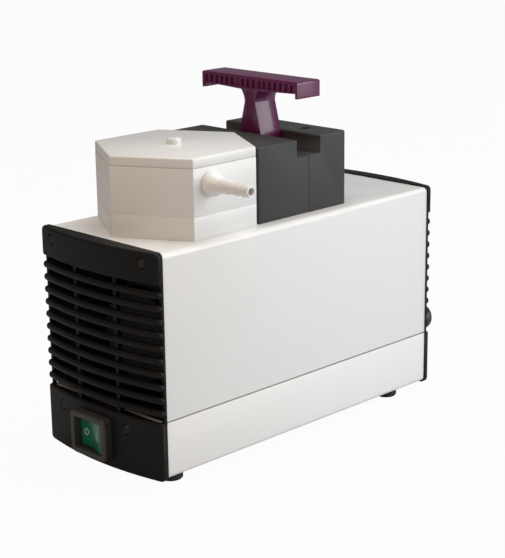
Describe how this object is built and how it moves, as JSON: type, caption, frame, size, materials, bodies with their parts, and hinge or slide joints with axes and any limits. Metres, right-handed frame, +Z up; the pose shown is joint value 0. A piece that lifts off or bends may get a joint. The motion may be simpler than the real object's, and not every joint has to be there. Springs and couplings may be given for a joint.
{
  "type": "diaphragm vacuum pump",
  "caption": "Bench diaphragm vacuum pump: sheet-metal housing with ribbed end caps, hexagonal white head with side hose nozzles, crank drive inside and a retractable T-handle.",
  "frame": {"origin": "centre of the overall box on the plane the feet stand on", "axes": "+X from the front end cap with the switch to the rear end cap, +Y from the inlet side towards the outlet side, +Z up"},
  "size_m": [0.2972, 0.1714, 0.246],
  "materials": {
    "cover_white": "smooth powder coat",
    "tray_white": "smooth powder coat",
    "cap_black": "moulded satin",
    "foot_rubber": "matt",
    "screw_steel": "plated",
    "screw_black": "blackened",
    "switch_frame": "satin",
    "rocker_green": "translucent gloss",
    "head_white": "machined fluoropolymer",
    "nozzle_white": "satin",
    "block_grey": "fine-grained satin",
    "handle_purple": "satin",
    "diaphragm_rubber": "fabric-backed elastomer",
    "seal_rubber": "matt",
    "cast_aluminium": "cast",
    "turned_steel": "turned",
    "lamination": "varnished",
    "copper": "enamelled",
    "fan_plastic": "moulded",
    "zinc_plate": "zinc plated",
    "capacitor_can": "smooth",
    "terminal_plastic": "smooth",
    "gland_black": "satin"
  },
  "bodies": {
    "housing": {"base_tray": "tray_white", "top_cover": "cover_white", "front_cap": "cap_black", "rear_cap": "cap_black", "cap_screws": "screw_black", "rubber_feet": "foot_rubber", "foot_screws": "screw_steel", "switch_bezel": "switch_frame", "head_base": "head_white", "head_body": "head_white", "head_lid": "head_white", "head_plug": "head_white", "head_screws": "screw_steel", "valve_plate": "head_white", "inlet_nozzle": "nozzle_white", "outlet_nozzle": "nozzle_white", "nozzle_rings": "seal_rubber", "diaphragm": "diaphragm_rubber", "crankcase": "cast_aluminium", "crankcase_cover": "cast_aluminium", "stator": "lamination", "windings": "copper", "motor_front_shield": "cast_aluminium", "motor_rear_shield": "cast_aluminium", "bearings": "turned_steel", "through_bolts": "screw_steel", "motor_bracket": "zinc_plate", "isolators": "foot_rubber", "handle_block_front": "block_grey", "handle_block_rear": "block_grey", "block_screws": "screw_steel", "guide_pocket": "fan_plastic", "gland_body": "gland_black", "gland_nut": "gland_black", "gland_seal": "seal_rubber", "gland_locknut": "gland_black", "run_capacitor": "capacitor_can", "capacitor_clamp": "zinc_plate", "terminal_block": "terminal_plastic"},
    "shaft": {"motor_shaft": "turned_steel", "rotor": "lamination", "eccentric": "turned_steel", "counterweight": "turned_steel", "cooling_fan": "fan_plastic"},
    "rod": {"connecting_rod": "cast_aluminium", "rod_bearing": "turned_steel", "support_disc": "turned_steel", "clamp_disc": "turned_steel"},
    "handle": {"handle": "handle_purple"},
    "rocker": {"rocker_button": "rocker_green"},
    "inlet_valve": {"inlet_valve_disc": "diaphragm_rubber"},
    "outlet_valve": {"outlet_valve_disc": "diaphragm_rubber"}
  },
  "joints": [
    {"name": "shaft_spin", "type": "hinge", "parent": "housing", "child": "shaft", "pos_m": [-0.06695, 0, 0.084], "axis": [1, 0, 0], "continuous": true},
    {"name": "rod_pivot", "type": "hinge", "parent": "shaft", "child": "rod", "pos_m": [-0.06695, 0, 0.0868], "axis": [1, 0, 0], "continuous": true, "deforming": ["diaphragm"]},
    {"name": "handle_slide", "type": "slide", "parent": "housing", "child": "handle", "axis": [0, 0, 1], "range_m": [-0.0388, 0]},
    {"name": "rocker_tilt", "type": "hinge", "parent": "housing", "child": "rocker", "pos_m": [-0.14105, 0.00275, 0.0235], "axis": [0, 0, 1], "range_deg": [0, 20]},
    {"name": "inlet_valve_lift", "type": "slide", "parent": "housing", "child": "inlet_valve", "axis": [0, 0, -1], "range_m": [0, 0.0008], "stiffness_N_per_m": 50},
    {"name": "outlet_valve_lift", "type": "slide", "parent": "housing", "child": "outlet_valve", "axis": [0, 0, 1], "range_m": [0, 0.0008], "stiffness_N_per_m": 50}
  ],
  "couplings": [
    {"joint": "rod_pivot", "follows": "shaft_spin", "ratio": -1}
  ]
}
